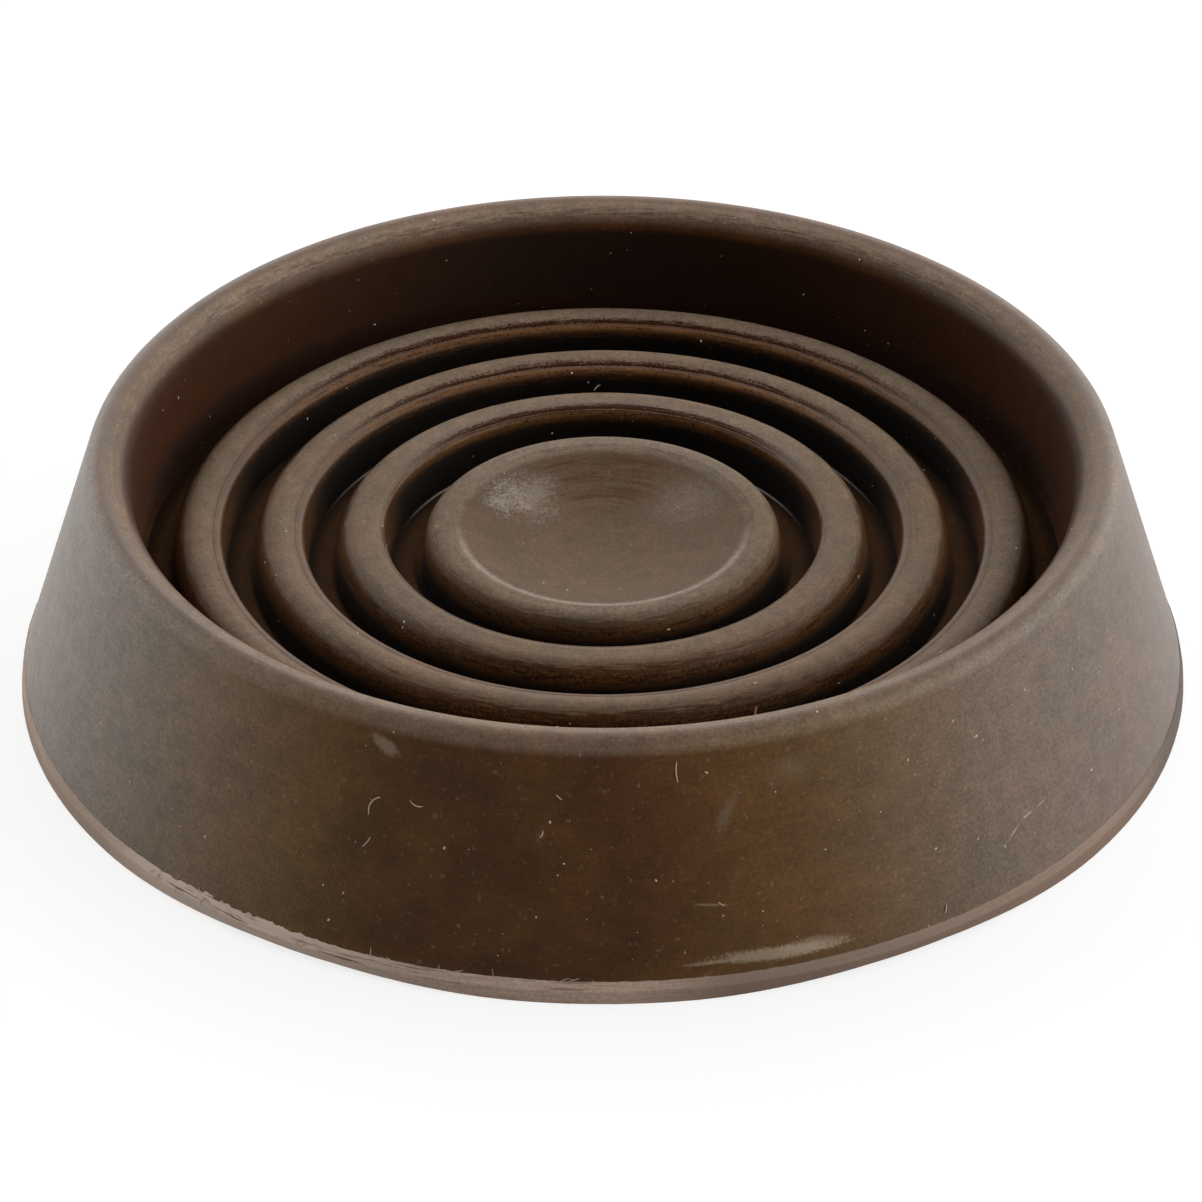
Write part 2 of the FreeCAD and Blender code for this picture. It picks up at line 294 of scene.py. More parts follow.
# Moulded rubber: a vulcanised brown compound with a semi-matt skin. Its fine grain breaks the light into a
# broad grey sheen, dust and painted sheen grey the tops, painted reflections the sides, painted shade darkens
# the recess, and turning lines run round it.
rubberLook = {
    "roughness": 0.38,
    "ior": 1.5,
    "facingGloss": (0.36, 0.33, 0.27, 1.0),  # share of the gloss left where the skin faces the eye
    "bumpStrength": 0.25,
    "bumpDepth": 0.03,
    # noises: their size and detail
    "noises": {
        "mottle": (5.0, 5.0),
        "patch": (14.0, 4.0),
        "grain": (0.25, 3.0),
        "speckle": (0.17, 3.0),
        "fleck": (0.4, 1.0),
        "cloud": (1.3, 3.0),
    },
    # turning lines: their width, their reach and detail
    "lines": {
        "brush": (0.22, 14.0, 3.0),  # the real lines are about 0.1 mm; drawn coarser so that they show
        "streak": (0.13, 1.4, 3.0),
        "stain": (0.34, 4.0, 2.0),
    },
    # one noise added to another, and its share
    "blends": {
        "specks": ("streak", 1.0, "speckle"),
        "uneven": ("speckle", 0.4, "stain"),
        "clots": ("speckle", 1.6, "cloud"),
        "broken": ("streak", 0.5, "clots"),
        "fine": ("brush", 0.2, "grain"),
    },
    "brokenMean": 1.55,  # what the noise broken comes to on average
    # values frayed by a noise: the plain value, the noise, its share and its mean, taken off again
    "frays": {
        "facing": ("upright", "streak", 0.9, -0.45),
        "roughHeight": ("height", "specks", 0.7, -0.7),
    },
    "lineBend": 0.3,
    "lineMiddle": 0.27,  # from a tool line to the middle of its stain, with the mean bend
    "lineFray": 0.6,
    "innerRidge": (15.2, 14.6),  # radii between which the innermost ridge's own line takes over
    # towards the back the painted shade on the rim's inner round starts lower and the painted sheen reaches
    # lower
    "bared": (90.0, 140.0, 0.9),  # turns where the rim's inner round is bared lower, and how much
    "overRim": (31.7, 32.1, 2.0),  # radii where that round ends, and what lifts the rest clear of it
    # patterns as the noise they follow, where they start, where they are whole and their strength
    "patterns": {
        "mottled": ("mottle", 0.3, 0.7, 1.0),
        "reddish": ("patch", 0.45, 0.65, 0.4),
        "flecked": ("fleck", 0.66, 0.78, 0.3),
        "strip": ("specks", 1.3, 0.9, 0.95),
        "pits": ("specks", 0.95, 1.2, 0.8),
        "grit": ("specks", 1.02, 0.86, 0.55),
        "streaky": ("uneven", 0.78, 0.6, 0.95),
        "toolLine": ("frayed", 0.94, 0.7, 1.0),
    },
    "noiseRange": (0.3, 0.7),  # nearly all of a noise lies between these
    # how far noises vary the thickness of the dust and painted light, the first, and the compound's tone, the
    # others
    "spreads": {"speckle": 0.25, "cloud": 0.12, "grain": 0.16, "brush": 0.035, "streak": 0.08},
    # zones as the value they follow, where they start and where they are whole
    "zones": {
        "inside": ("radius", 32.2, 31.8),
        "wall": ("radius", 28.6, 29.6),
        "wallDepth": ("innerLevel", 16.75, 16.2),
        "outsideButton": ("radius", 11.25, 11.5),
        "grooveDepth": ("height", 11.3, 9.2),
        "flankDepth": ("roughHeight", 11.5, 10.8),
        "outerFlank": ("ridge", 2.7, 3.0),
        "outerFlankEnd": ("ridge", 3.9, 3.6),
        "flankLow": ("roughHeight", 11.1, 9.9),
        "flankTop": ("roughHeight", 9.9, 11.0),
        "underRidge": ("ridge", 4.2, 5.2),
        "frontHalf": ("turnBy", 100.0, 75.0),
        "back": ("turnBy", 92.0, 114.0),
        "farBack": ("turnBy", 100.0, 140.0),
        "wallBack": ("turnBy", 128.0, 176.0),
        "up": ("facing", 0.66, 0.9),
        "steep": ("facing", 0.75, 0.4),
        "rim": ("height", 15.75, 16.5),
        "rimInner": ("innerLevel", 16.5, 17.3),
        "crest": ("crestRidge", 0.8, 1.1),
        "shoulder": ("crestRidge", 1.1, 0.8),
        "shoulderFoot": ("crestRidge", 0.5, 0.8),
        "shoulderBack": ("crestRidge", 0.25, 0.45),
        "footLine": ("ridge", 5.1, 5.18),
        "footLineEnd": ("ridge", 5.28, 5.2),
        "footHeight": ("height", 9.3, 9.0),
        "glint": ("turnBy", 108.0, 134.0),
        "glintEnd": ("turnBy", 142.0, 136.0),
        "innerGrooves": ("radius", 22.0, 20.0),
        "crestHeight": ("height", 11.0, 11.6),
        "ridges": ("radius", 12.8, 13.4),
        "ridgesEnd": ("radius", 28.4, 28.1),
        "outerRidge": ("radius", 23.5, 24.4),
        "button": ("radius", 11.6, 11.3),
        "lip": ("radius", 9.0, 9.6),
        "dishLine": ("radius", 8.8, 9.28),
        "dishLineEnd": ("radius", 9.7, 9.36),
        "dishSlope": ("radius", 3.0, 5.5),
        "dishSlopeEnd": ("radius", 9.2, 8.4),
        "dishBack": ("turnBy", 135.0, 165.0),
        "towardsFront": ("front", -1.0, 4.0),
        "frontBack": ("sideways", 0.9, 0.3),
        "side": ("radius", 32.6, 33.4),
        "right": ("turn", 16.0, 54.0),
        "left": ("turn", -26.0, -62.0),
        "rightEnd": ("turn", 150.0, 85.0),
        "leftEnd": ("turn", -155.0, -95.0),
        "farLeft": ("turn", -50.0, -80.0),
        "warmRight": ("turn", 2.0, 18.0),
        "warmRightEnd": ("turn", 62.0, 24.0),
        "warmLeft": ("turn", -18.0, -36.0),
        "warmLeftEnd": ("turn", -72.0, -44.0),
    },
    # the compound: its deepest brown, and the patterns and colours over it
    "colourDeep": "#3c2410",
    "compound": (("mottled", "#553618"), ("reddish", "#522c17"), ("flecked", "#8a745c")),
    # painted shade inside the rim, darker down the wall, in the grooves and on the flanks, darkest on the
    # steep faces at the back and at the feet of the outer flanks at the front: its colour, how much duller it
    # is and the zones that it needs
    "paintedShades": (
        ("#3a1c08", 0.20, ("wall", "wallDepth")),
        ("#26160d", 0.10, ("wall", "wallDepth", "wallBack")),
        ("#5a3b21", 0.55, ("outsideButton", "grooveDepth")),
        ("#2c190c", 0.00, ("outsideButton", "grooveDepth", "underRidge")),
        ("#0e0804", 0.40, ("outsideButton", "outerFlank", "outerFlankEnd", "flankLow", "frontHalf")),
        ("#100905", 0.40, ("outsideButton", "flankDepth", "steep", "back", "ridgesEnd")),
        ("#2c150b", 0.10, ("wall", "flankDepth", "back")),
    ),
    # dust and painted light as a film: its strength, its colour, how much it dulls the skin and the zones
    # that it needs
    "dustAndPaintedLight": (
        # dust and painted sheen on the rim, more at its front and back; at the back a redder painted shade on
        # its inner round
        (0.18, "#a8998a", 0.05, ("rim", "rimInner")),
        (0.15, "#a8947f", 0.12, ("rim", "rimInner", "frontBack")),
        (0.18, "#63382c", 0.00, ("rim", "rimInner", "farBack")),
        # dust and painted sheen on the ridges' crests and shoulders, more at the back
        (0.24, "#a8967f", 0.30, ("up", "crest", "crestHeight", "ridges", "inside")),
        (0.12, "#a89886", 0.00, ("up", "crest", "crestHeight", "ridges", "inside", "farBack")),
        (0.12, "#a8967f", 0.00, ("up", "crest", "crestHeight", "outerRidge", "inside", "farBack")),
        (0.20, "#a8967f", 0.30, ("up", "shoulder", "shoulderFoot", "crestHeight", "ridges", "ridgesEnd")),
        # the button a duller, darker brown, and dust and painted sheen on its lip
        (0.55, "#65523c", 0.28, ("button",)),
        (0.19, "#a89c8c", 0.15, ("up", "lip", "crestHeight", "button")),
        (0.16, "#a89a8a", 0.00, ("up", "lip", "crestHeight", "button", "farBack")),
        (0.05, "#a89a86", 0.00, ("up", "lip", "crestHeight", "button", "frontBack")),
        # painted highlights: a line along the dish's front edge, and glints in the inner grooves' outer
        # corners towards the back
        (0.24, "#cfc5b8", 0.00, ("dishLine", "dishLineEnd", "towardsFront")),
        (0.60, "#ddd5cb", 0.00, ("footLine", "footLineEnd", "footHeight", "glint", "glintEnd",
                                 "outsideButton", "innerGrooves")),
        # painted light and reflection on the flared side: warmer a little to either side of the front, greyer
        # further round to the left and the right
        (0.12, "#9c7f47", 0.00, ("side", "warmRight", "warmRightEnd")),
        (0.16, "#a08149", 0.00, ("side", "warmLeft", "warmLeftEnd")),
        (0.22, "#b0aaa2", 0.05, ("side", "right", "rightEnd")),
        (0.25, "#b0aaa2", 0.05, ("side", "left", "leftEnd")),
        (0.17, "#b4b0aa", 0.00, ("side", "farLeft", "leftEnd")),
    ),
    # traces of making and wear: pattern, colour, how much duller it is and the zones that it needs. At the
    # back a ridge's browner shoulder and its tool line, at the front the rough flanks, then the dish
    "traces": (
        ("strip", "#75502f", -0.1, ("shoulder", "shoulderBack", "farBack", "crestHeight", "ridges",
                                    "ridgesEnd")),
        ("pits", "#391c08", 0.0, ("shoulder", "shoulderBack", "farBack", "crestHeight", "ridges",
                                  "ridgesEnd")),
        ("toolLine", "#391c08", -0.4, ("farBack", "crestHeight", "ridges", "ridgesEnd")),
        ("grit", "#72502f", 0.1, ("ridgesEnd", "outsideButton", "steep", "flankTop", "frontHalf")),
        ("pits", "#21120a", 0.0, ("ridgesEnd", "outsideButton", "steep", "frontHalf")),
        ("streaky", "#4a2c12", 0.0, ("dishSlope", "dishSlopeEnd", "dishBack")),
    ),
    # kinds of mark: colour, how far it is broken up, and where on its reach it starts to fade and ends
    "markKinds": {"chalk": ("#cbc2b9", 1.1, 0.0, 0.87), "scuff": ("#b7a48e", 0.6, 0.45, 1.05)},
    # marks: kind, turn, radius, height, slant up to the right, half length, half width and strength
    "marks": (
        ("scuff", -24.0, 33.9, 15.1, -26.0, 1.4, 0.55, 0.3),
        ("scuff", 17.3, 37.45, 2.5, -1.5, 5.0, 0.5, 0.5),
        ("scuff", 21.0, 37.45, 2.6, -1.0, 2.8, 0.6, 0.3),
        ("scuff", 10.5, 37.5, 2.45, 1.0, 2.2, 0.15, 0.3),
        ("chalk", 44.1, 36.88, 4.45, 0.0, 0.16, 0.16, 0.9),
        ("chalk", 45.5, 36.72, 4.97, 29.0, 1.1, 0.09, 0.4),
        ("chalk", 47.8, 36.57, 5.54, 8.0, 0.8, 0.13, 0.7),
        ("chalk", 50.1, 36.50, 5.73, 8.0, 1.1, 0.07, 0.35),
        ("scuff", 10.9, 36.4, 6.15, -6.0, 1.4, 0.1, 0.25),
        ("chalk", 13.0, 34.77, 11.95, 62.0, 2.6, 0.7, 0.08),
        ("chalk", 20.2, 34.18, 14.0, 8.0, 2.4, 1.2, 0.07),
        ("chalk", -6.4, 35.09, 10.8, 70.0, 1.2, 0.5, 0.06),
        ("chalk", -134.0, 7.0, 10.9, 0.0, 3.6, 2.0, 0.23),
        ("chalk", -124.0, 7.6, 10.9, 0.0, 2.0, 1.8, 0.22),
        ("chalk", 128.0, 7.2, 10.9, 0.0, 3.8, 2.4, 0.12),
    ),
}


def newMaterial(name):
    # a material with what adds its nodes, its shader and the object's own places in millimetres
    material = bpy.data.materials.new(name)
    material.use_nodes = True
    add = partial(addNode, material.node_tree)
    coords = add("ShaderNodeTexCoord")
    place = add("ShaderNodeVectorMath", {0: coords.outputs["Object"], "Scale": 1 / mm}, operation="SCALE")
    return material, add, material.node_tree.nodes["Principled BSDF"], place


def placeValues(add, place):
    # where a point lies: across, towards the front, height, radius, and turn from the front, also unsigned
    parts = add("ShaderNodeSeparateXYZ", {0: place}).outputs
    level = add("ShaderNodeVectorMath", {0: place, 1: (1, 1, 0)}, operation="MULTIPLY")
    radius = add("ShaderNodeVectorMath", {0: level}, operation="LENGTH").outputs["Value"]
    front = add("ShaderNodeMath", {0: parts["Y"], 1: -1.0}, operation="MULTIPLY")
    radians = add("ShaderNodeMath", {0: parts["X"], 1: front}, operation="ARCTAN2")
    turn = add("ShaderNodeMath", {0: radians}, operation="DEGREES")
    turnBy = add("ShaderNodeMath", {0: turn}, operation="ABSOLUTE")
    return {"across": parts["X"], "front": front, "height": parts["Z"], "radius": radius, "turn": turn,
            "turnBy": turnBy}


def shareTable(add, values, ranges, curve):
    # each range follows a value, starts at one level and is whole, or at its strength, at another
    shares = {}
    for label, limits in ranges.items():
        follows, start, whole, strength = (*limits, 1.0)[:4]
        shares[label] = add("ShaderNodeMapRange", {
            "Value": values[follows], "From Min": start, "From Max": whole, "To Max": strength},
            interpolation_type=curve)
    return shares


def product(add, share, shares, labels):
    # a share, times those with these labels
    for label in labels:
        share = add("ShaderNodeMath", {0: share, 1: shares[label]}, operation="MULTIPLY")
    return share


def layOver(add, skin, share, tint, dulling, cover):
    # a tint over the skin's colour, and what it adds to the roughness
    colour, rough = skin
    rough = add("ShaderNodeMath", {0: share, 1: dulling, 2: rough}, operation="MULTIPLY_ADD")
    colour = add("ShaderNodeMix", {0: cover, 6: colour, 7: linear(tint)}, data_type="RGBA").outputs[2]
    return colour, rough


def rubberPlaces(add, place):
    # what the rubber's zones follow, apart from what noises fray
    look = rubberLook
    values = placeValues(add, place)
    height, radius = values["height"], values["radius"]

    # the place on a ridge from its inner foot, also with all tool lines brought to the same place
    foot, lines = cup["ridgeFeet"][0], cup["toolLines"]
    wrapped = add("ShaderNodeMath", {0: radius, 1: foot + cup["ridgePitch"], 2: foot}, operation="WRAP")
    values["ridge"] = add("ShaderNodeMath", {0: wrapped, 1: foot}, operation="SUBTRACT")
    start, whole = look["innerRidge"]
    shift = add("ShaderNodeMapRange", {
        "Value": radius, "From Min": start, "From Max": whole, "To Max": lines[0] - lines[-1]})
    values["crestRidge"] = add("ShaderNodeMath", {0: values["ridge"], 1: shift}, operation="ADD")

    # how far to the side, and the level on the rim's inner round, raised towards the back so that the painted
    # shade there starts lower and the dust and painted sheen reach lower
    aside = add("ShaderNodeMath", {0: values["across"], 1: radius}, operation="DIVIDE")
    values["sideways"] = add("ShaderNodeMath", {0: aside}, operation="ABSOLUTE")
    start, whole, most = look["bared"]
    bared = add("ShaderNodeMapRange", {
        "Value": values["turnBy"], "From Min": start, "From Max": whole, "To Max": most},
        interpolation_type="SMOOTHSTEP")
    start, whole, most = look["overRim"]
    overRim = add("ShaderNodeMapRange", {
        "Value": radius, "From Min": start, "From Max": whole, "To Max": most})
    higher = add("ShaderNodeMath", {0: bared, 1: overRim}, operation="ADD")
    values["innerLevel"] = add("ShaderNodeMath", {0: higher, 1: height}, operation="ADD")
    return values


def rubberNoises(add, place, values):
    look = rubberLook
    noises = {label: add("ShaderNodeTexNoise", {"Vector": place, "Scale": 1 / size, "Detail": detail})
              for label, (size, detail) in look["noises"].items()}

    # turning lines, which run round every face: long fine ones, short streaks and broader stains
    for label, (width, reach, detail) in look["lines"].items():
        x, y, z, w = [
            add("ShaderNodeMath", {0: values[value], 1: size}, operation="DIVIDE") for value, size in (
                ("across", reach), ("front", reach), ("radius", width), ("height", width))]
        linePlace = add("ShaderNodeCombineXYZ", {"X": x, "Y": y, "Z": z})
        noises[label] = add("ShaderNodeTexNoise", {
            "Vector": linePlace, "W": w, "Scale": 1.0, "Detail": detail}, noise_dimensions="4D")
    for label, (first, share, second) in look["blends"].items():
        noises[label] = add("ShaderNodeMath", {0: noises[first], 1: share, 2: noises[second]},
                            operation="MULTIPLY_ADD")

    # how far a point misses the rough line that the mould's tool left on its ridge
    bend = add("ShaderNodeMath", {0: noises["mottle"], 1: look["lineBend"], 2: values["crestRidge"]},
               operation="MULTIPLY_ADD")
    middle = cup["toolLines"][0] + look["lineMiddle"]
    missed = add("ShaderNodeMath", {0: bend, 1: middle}, operation="SUBTRACT")
    missedBy = add("ShaderNodeMath", {0: missed}, operation="ABSOLUTE")
    noises["frayed"] = add("ShaderNodeMath", {0: noises["specks"], 1: look["lineFray"], 2: missedBy},
                           operation="MULTIPLY_ADD")
    return noises


def makeRubber():
    look = rubberLook
    material, add, shader, place = newMaterial("mouldedRubber")
    values = rubberPlaces(add, place)
    noises = rubberNoises(add, place, values)

    # the edges of the dust and painted sheen on a rounded shoulder and of the painted shade on a flank are
    # frayed into streaks
    normal = add("ShaderNodeTexCoord").outputs["Normal"]
    values["upright"] = add("ShaderNodeSeparateXYZ", {0: normal}).outputs["Z"]
    for label, (plain, noise, share, mean) in look["frays"].items():
        fray = add("ShaderNodeMath", {0: noises[noise], 1: share, 2: mean}, operation="MULTIPLY_ADD")
        values[label] = add("ShaderNodeMath", {0: fray, 1: values[plain]}, operation="ADD")
    zones = shareTable(add, values, look["zones"], "SMOOTHSTEP")
    patterns = shareTable(add, noises, look["patterns"], "LINEAR")
    low, high = look["noiseRange"]
    varied = {label: add("ShaderNodeMapRange", {
        "Value": noises[label], "From Min": low, "From Max": high, "To Min": 1 - spread,
        "To Max": 1 + spread}) for label, spread in look["spreads"].items()}

    # the compound: brown, unevenly mixed, with faint pale flecks, then painted shade that darkens it down in
    # the recess
    colour = linear(look["colourDeep"])
    for pattern, tint in look["compound"]:
        colour = add("ShaderNodeMix", {0: patterns[pattern], 6: colour, 7: linear(tint)},
                     data_type="RGBA").outputs[2]
    skin = colour, look["roughness"]
    for tint, dulling, needs in look["paintedShades"]:
        share = product(add, zones["inside"], zones, needs)
        skin = layOver(add, skin, share, tint, dulling, share)

    # the dust and painted light, in fine specks
    specked = varied.pop("speckle")
    for strength, tint, dulling, needs in look["dustAndPaintedLight"]:
        share = product(add, 1.0, zones, needs)
        thick = add("ShaderNodeMath", {0: specked, 1: strength}, operation="MULTIPLY")
        cover = add("ShaderNodeMath", {0: share, 1: thick}, operation="MULTIPLY", use_clamp=True)
        skin = layOver(add, skin, share, tint, dulling, cover)

    # the shading of the clouding, of the grain and of the turning lines, then traces of making and wear
    colour, rough = skin
    shading = product(add, 1.0, varied, varied.keys())
    skin = add("ShaderNodeVectorMath", {0: colour, "Scale": shading}, operation="SCALE"), rough
    for pattern, tint, dulling, needs in look["traces"]:
        share = product(add, patterns[pattern], zones, needs)
        skin = layOver(add, skin, share, tint, dulling, share)

    # scuffs and chalky marks, broken up into clots and grains
    colour, rough = skin
    for kind, turn, radius, height, slant, halfLength, halfWidth, strength in look["marks"]:
        tint, breakUp, fade, end = look["markKinds"][kind]
        local = add("ShaderNodeMapping", {
            "Vector": place, "Location": turnedPoint(turn, radius, height),
            "Rotation": (0, math.radians(-slant), math.radians(turn)),
            "Scale": (halfLength, max(halfLength, halfWidth), halfWidth)}, vector_type="TEXTURE")
        reach = add("ShaderNodeVectorMath", {0: local}, operation="LENGTH").outputs["Value"]
        ragged = add("ShaderNodeMath", {0: noises["broken"], 1: breakUp, 2: reach}, operation="MULTIPLY_ADD")
        usual = look["brokenMean"] * breakUp
        mark = add("ShaderNodeMapRange", {
            "Value": ragged, "From Min": usual + end, "From Max": usual + fade, "To Max": strength},
            interpolation_type="SMOOTHSTEP")
        colour = add("ShaderNodeMix", {0: mark, 6: colour, 7: linear(tint)}, data_type="RGBA").outputs[2]

    bump = add("ShaderNodeBump", {
        "Height": noises["fine"], "Strength": look["bumpStrength"], "Distance": look["bumpDepth"] * mm})
    setInputs(shader, {"Base Color": colour, "Roughness": rough, "Normal": bump, "IOR": look["ior"],
                       "Specular Tint": look["facingGloss"]})
    return material


# Trimmed rubber: where the moulding was cut from its sheet the skin is gone, and the cut compound
# scatters the light, so it looks paler and dull, with fine cuts along it and a few dark cracks.
trimLook = {
    "colour": "#cdb5a2",
    "colourDeep": "#b09684",
    "cutSize": (3.5, 3.5, 0.16),
    "cutDetail": 4.0,
    "crumbSize": 0.22,
    "crumbDetail": 3.0,
    "roughness": 0.85,
    "bumpStrength": 0.5,
    "bumpDepth": 0.05,
    # patterns as the noise they follow, where they start, where they are whole and their strength
    "patterns": {
        "pale": ("both", 0.75, 1.2, 1.0),
        "cracked": ("cuts", 0.43, 0.34, 0.9),
    },
    # zones as the value they follow, where they start and where they are whole
    "zones": {
        "upper": ("height", 0.75, 1.0),
        "lower": ("height", 1.05, 0.8),
        "torn": ("turn", -54.0, -46.0),
        "tornEnd": ("turn", 4.0, -12.0),
        "paleStretch": ("turn", -62.0, -46.0),
        "paleStretchEnd": ("turn", -14.0, -34.0),
        "left": ("turn", -48.0, -64.0),
        "right": ("turn", 0.0, 15.0),
        "farRight": ("turn", 58.0, 80.0),
        "back": ("turnBy", 90.0, 150.0),
    },
    # changes along the band: strength, colour and the zones that each needs. Round the band they are painted
    # light and shade, paler left of the front, darker far to the left, to the right and round the back; the
    # band is also darker towards the bottom
    "tintsAndPaintedLight": (
        (0.85, "#e2ccbc", ("paleStretch", "paleStretchEnd")),
        (0.60, "#9d8b7d", ("left",)),
        (0.92, "#847061", ("right",)),
        (1.00, "#5a5049", ("farRight",)),
        (0.25, "#6a4f3d", ("lower",)),
        (0.30, "#5a4332", ("lower", "right")),
        (1.00, "#75665a", ("back",)),
    ),
    "crackColour": "#4c3828",
    "crackZones": ("upper", "torn", "tornEnd"),
}


def makeTrimmedRubber():
    look = trimLook
    material, add, shader, place = newMaterial("trimmedRubber")
    zones = shareTable(add, placeValues(add, place), look["zones"], "SMOOTHSTEP")

    # cuts that run along the band, and crumbs
    cutPlace = add("ShaderNodeVectorMath", {0: place, 1: look["cutSize"]}, operation="DIVIDE")
    cuts = add("ShaderNodeTexNoise", {"Vector": cutPlace, "Scale": 1.0, "Detail": look["cutDetail"]})
    crumbs = add("ShaderNodeTexNoise", {
        "Vector": place, "Scale": 1 / look["crumbSize"], "Detail": look["crumbDetail"]})
    both = add("ShaderNodeMath", {0: cuts, 1: crumbs}, operation="ADD")
    patterns = shareTable(add, {"cuts": cuts, "both": both}, look["patterns"], "LINEAR")
    # the pale cut compound, then the painted light and shade round the band, then the cracks
    colour = linear(look["colourDeep"])
    for share, tint, needs in ((patterns["pale"], look["colour"], ()), *look["tintsAndPaintedLight"],
                               (patterns["cracked"], look["crackColour"], look["crackZones"])):
        share = product(add, share, zones, needs)
        colour = add("ShaderNodeMix", {0: share, 6: colour, 7: linear(tint)}, data_type="RGBA").outputs[2]
    bump = add("ShaderNodeBump", {
        "Height": both, "Strength": look["bumpStrength"], "Distance": look["bumpDepth"] * mm})
    setInputs(shader, {"Base Color": colour, "Roughness": look["roughness"], "Normal": bump})
    return material


rubber = makeRubber()
trimmedRubber = makeTrimmedRubber()
latheTree = makeLatheTree()
print("materials and lathe ready")


def cupSection():
    # from the middle of the underside outwards, up the flared side, over the rim and in to the axis
    floor, top, groove, stray = cup["floorHeight"], cup["ridgeTop"], cup["grooveRound"], cup["lineStray"]
    corners = [
        (0, 0, 0, 4.0),
        (cup["underEdge"], 0, cup["underRound"], 0.6),
        (cup["coneFoot"], cup["coneFootHeight"], 0, 0.6),
        (cup["coneTop"], cup["rimTop"], cup["rimRound"], 0.2),
        (cup["wallTop"], cup["rimTop"], cup["rimInnerRound"], 0.8),
        (cup["wallFoot"], floor, cup["wallFootRound"], 0.6),
    ]
    for foot, toolLine, fall, shoulder in zip(
            cup["ridgeFeet"], cup["toolLines"], cup["crestFalls"], cup["shoulderTops"]):
        line, outerFoot = foot + toolLine, foot + cup["ridgeWidth"]
        corners += [
            (outerFoot, floor, groove, 0.5),
            (outerFoot - cup["ridgeLean"], top, cup["ridgeRound"], 0.3),
            (line + fall, top, cup["crestRound"] * fall, 0.2, stray / 2),
            (line + cup["lineWidth"], shoulder + cup["lineDepth"], cup["lineRound"], 0.04, stray),
            (line, shoulder - cup["lineDepth"], cup["lineRound"], 0.04, stray),
            (line - cup["lineRun"], shoulder, cup["lineRunRound"], 0.1, stray),
            (foot + cup["shoulderLean"], shoulder - cup["shoulderFall"], cup["shoulderRound"], 0.5),
            (foot, floor, groove, 0.6),
        ]
    sag = cup["dishEdge"] - cup["dishFloor"]
    ball = (cup["dishRadius"] ** 2 + sag ** 2) / (2 * sag)
    dishCorner = ball * math.tan(math.asin(cup["dishRadius"] / ball) / 2)
    corners += [
        (cup["buttonFoot"], floor, groove, 0.5),
        (cup["buttonEdge"], cup["buttonTop"], cup["buttonRound"], 0.2),
        (cup["lipInner"], cup["buttonTop"] - cup["lipFall"], cup["lipRound"], 0.1),
        (cup["dishRadius"], cup["dishEdge"], cup["dishEdgeRound"], 0.4),
        (dishCorner, cup["dishFloor"], ball * cup["dishShare"], 0.4),
        (0, cup["dishFloor"], 0, 1.0),
    ]
    return corners


# none of the cup's corners is torn or trimmed, so any width will do for those
cupPiece = sectionPiece("cupBody", cupSection())
applyTree(cupPiece, latheTree, {
    "Turns": cup["turns"], "Closed": 0, "Stray Size": cup["straySize"] * mm, "Torn Half": 1.0,
    "Trim Half": 1.0, "Material": rubber})
settle(cupPiece)
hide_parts("castor_cup")

# the band left round the foot where the moulding was trimmed, torn upwards left of the front
band = {
    "turns": 1800,
    "outerRadius": 37.94,
    "innerRadius": 37.25,
    "height": 1.55,
    "innerRise": 0.2,  # of its top, hidden in the cup
    "footTrim": 0.42,
    # corners of its outer face, upwards: how far in, how far below the top, then as in sectionPiece
    "face": (
        (0.03, 0.8, 0.05, 0.15, 0.03, 0.0, 0.05),
        (0.07, 0.5, 0.03, 0.1, 0.04, 0.1),
        (0.12, 0.44, 0.02, 0.1, 0.04, 0.12),
        (0.13, 0.15, 0.05, 0.1, 0.04, 0.3),
        (0.2, 0.0, 0.03, 0.2, 0.04, 0.62),
    ),
    "tornMiddle": -38.0,
    "tornHalf": 14.0,
    "untornShare": 0.1,
    "straySize": 0.8,
    "trimMiddle": 32.0,
    "trimHalf": 24.0,
}


def bandSection():
    outer, inner, height = band["outerRadius"], band["innerRadius"], band["height"]
    return [
        (inner, 0.0, 0.0, 0.8),
        (outer, 0.0, 0.1, 0.2, 0.02, 0.0, band["footTrim"]),
        *((outer - inset, height - drop, *rest) for inset, drop, *rest in band["face"]),
        (inner, height + band["innerRise"], 0.0, 2.0, 0.0, 0.2),
    ]


bandPiece = sectionPiece("trimBand", bandSection(), closed=True)
applyTree(bandPiece, latheTree, {
    "Turns": band["turns"], "Closed": 1, "Stray Size": band["straySize"] * mm,
    "Torn Middle": math.radians(frontAngle + band["tornMiddle"]), "Torn Half": math.radians(band["tornHalf"]),
    "Untorn Share": band["untornShare"], "Slope": coneSlope, "Trim Middle": math.radians(band["trimMiddle"]),
    "Trim Half": math.radians(band["trimHalf"]), "Material": trimmedRubber})
settle(bandPiece)

# Fluff: household dust and lint, dull and pale, broken up a little so that no two specks are alike
fluff = {
    "colourDeep": "#8d7a66",
    "size": 1.5,
    "detail": 2.0,
    "levels": (0.35, 0.65),
    "least": 0.6,  # share of the pale colour that is left where it is deepest
    "roughness": 0.9,
}


def makePale(name, colour):
    material, add, shader, place = newMaterial(name)
    noise = add("ShaderNodeTexNoise", {
        "Vector": place, "Scale": 1 / fluff["size"], "Detail": fluff["detail"]})
    low, high = fluff["levels"]
    light = add("ShaderNodeMapRange", {
        "Value": noise, "From Min": low, "From Max": high, "To Min": fluff["least"]})
    shade = add("ShaderNodeMix", {0: light, 6: linear(fluff["colourDeep"]), 7: linear(colour)},
                data_type="RGBA")
    setInputs(shader, {"Base Color": shade.outputs[2], "Roughness": fluff["roughness"]})
    return material


